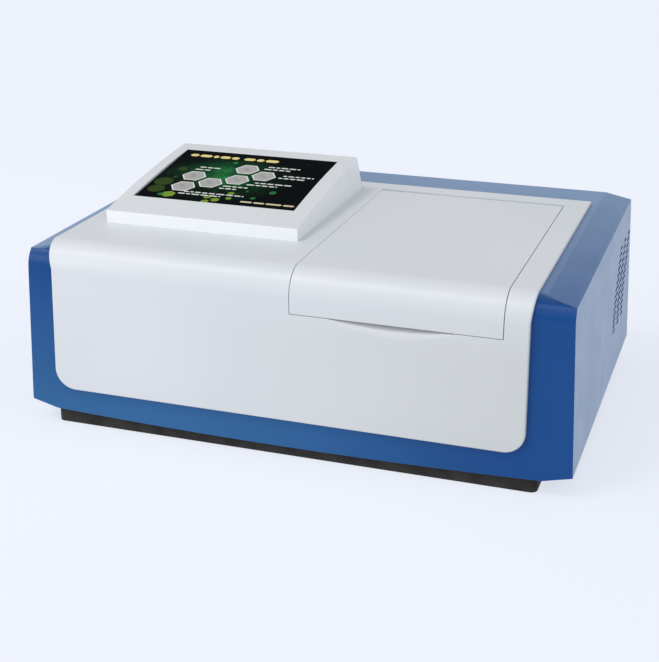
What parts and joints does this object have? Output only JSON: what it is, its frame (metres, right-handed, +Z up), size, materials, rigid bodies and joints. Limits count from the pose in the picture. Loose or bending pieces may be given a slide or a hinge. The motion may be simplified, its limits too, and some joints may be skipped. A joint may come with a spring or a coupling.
{
  "type": "spectrophotometer",
  "caption": "Benchtop ultraviolet-visible spectrophotometer with a bevelled case, wrap-around fascia, tilted touch-screen console and a hinged sample lid over a motor-driven cell changer.",
  "frame": {"origin": "centre of the footprint box, at bench level", "axes": "+X to the right seen from the front, +Y to the rear, +Z up; the operator faces the -Y side"},
  "size_m": [0.508, 0.35, 0.2128],
  "materials": {
    "blue_paint": "satin",
    "white_plastic": "fine satin texture",
    "grey_plastic": "satin",
    "black_plastic": "matte",
    "rubber": "matte",
    "aluminium": "machined",
    "cast_metal": "matte black anodised",
    "steel": "bright",
    "brass": "machined",
    "grey_sheet": "fine texture",
    "clear_glass": "polished",
    "dark_glass": "gloss glass front",
    "mirror": "first surface mirror",
    "circuit_board": "solder resist",
    "foam": "closed-cell foam"
  },
  "bodies": {
    "case": {"base_screws": "steel", "base_tray": "black_plastic", "board_components": "black_plastic", "chamber_tub": "black_plastic", "chamber_windows": "clear_glass", "changer_guide_rods": "steel", "changer_motor": "steel", "changer_rail": "aluminium", "chassis_plate": "aluminium", "concave_mirrors": "mirror", "console_shell": "grey_plastic", "data_ports": "steel", "detector_block": "cast_metal", "deuterium_lamp": "clear_glass", "display_board": "circuit_board", "display_module": "steel", "fan_frame": "black_plastic", "fan_guard": "steel", "fascia": "white_plastic", "filter_motor": "steel", "fold_mirror": "mirror", "grating_motor": "steel", "housing": "blue_paint", "inlet_pins": "brass", "inlet_socket": "black_plastic", "lamp_housing": "aluminium", "lamp_sockets": "grey_plastic", "lid_hinge_brackets": "steel", "lid_sensor": "black_plastic", "main_board": "circuit_board", "mirror_mounts": "cast_metal", "monochromator_box": "cast_metal", "monochromator_cover": "cast_metal", "optics_bench": "aluminium", "photodiode": "dark_glass", "power_supply": "grey_sheet", "preamp_board": "circuit_board", "rear_panel": "grey_sheet", "rear_screws": "steel", "rubber_feet": "rubber", "slit_plates": "cast_metal", "source_mirror_motor": "steel", "switch_frame": "black_plastic", "touch_glass": "dark_glass", "tungsten_lamp": "clear_glass"},
    "lid": {"lid_cover": "white_plastic", "lid_hinge_pin": "steel", "lid_liner": "black_plastic", "lid_seal": "foam", "lid_magnet": "steel"},
    "changer_drive_screw": {"changer_screw": "steel"},
    "changer_slide_rack": {"changer_carriage": "cast_metal", "changer_nut": "brass"},
    "grating_turntable": {"grating_table": "aluminium", "diffraction_grating": "mirror"},
    "filter_disc": {"filter_wheel": "aluminium", "order_filters": "clear_glass"},
    "source_selector": {"source_mirror": "mirror"},
    "fan_wheel": {"fan_rotor": "black_plastic"},
    "power_rocker": {"switch_rocker": "black_plastic"}
  },
  "joints": [
    {"name": "lid_hinge", "type": "hinge", "parent": "case", "child": "lid", "pos_m": [0.099, 0.096, 0.1702], "axis": [-1, 0, 0], "range_deg": [0, 85]},
    {"name": "changer_screw_turn", "type": "hinge", "parent": "case", "child": "changer_drive_screw", "pos_m": [0.099, 0, 0.08], "axis": [0, 1, 0], "range_deg": [0, 3241]},
    {"name": "changer_travel", "type": "slide", "parent": "case", "child": "changer_slide_rack", "axis": [0, 1, 0], "range_m": [0, 0.072]},
    {"name": "grating_turn", "type": "hinge", "parent": "case", "child": "grating_turntable", "pos_m": [-0.1, -0.015, 0.064], "axis": [0, 0, 1], "range_deg": [-25, 35]},
    {"name": "filter_turn", "type": "hinge", "parent": "case", "child": "filter_disc", "pos_m": [-0.138, 0.03, 0.109], "axis": [0, 1, 0], "continuous": true},
    {"name": "source_select", "type": "hinge", "parent": "case", "child": "source_selector", "pos_m": [-0.16, 0.085, 0.084], "axis": [0, 0, 1], "range_deg": [-12, 12]},
    {"name": "fan_spin", "type": "hinge", "parent": "case", "child": "fan_wheel", "pos_m": [-0.1, 0.15, 0.084], "axis": [0, 1, 0], "continuous": true},
    {"name": "power_rock", "type": "hinge", "parent": "case", "child": "power_rocker", "pos_m": [0.16, 0.167, 0.054], "axis": [1, 0, 0], "range_deg": [0, 16]}
  ],
  "couplings": [
    {"joint": "changer_screw_turn", "follows": "changer_travel", "rad_per_m": 785.4}
  ]
}
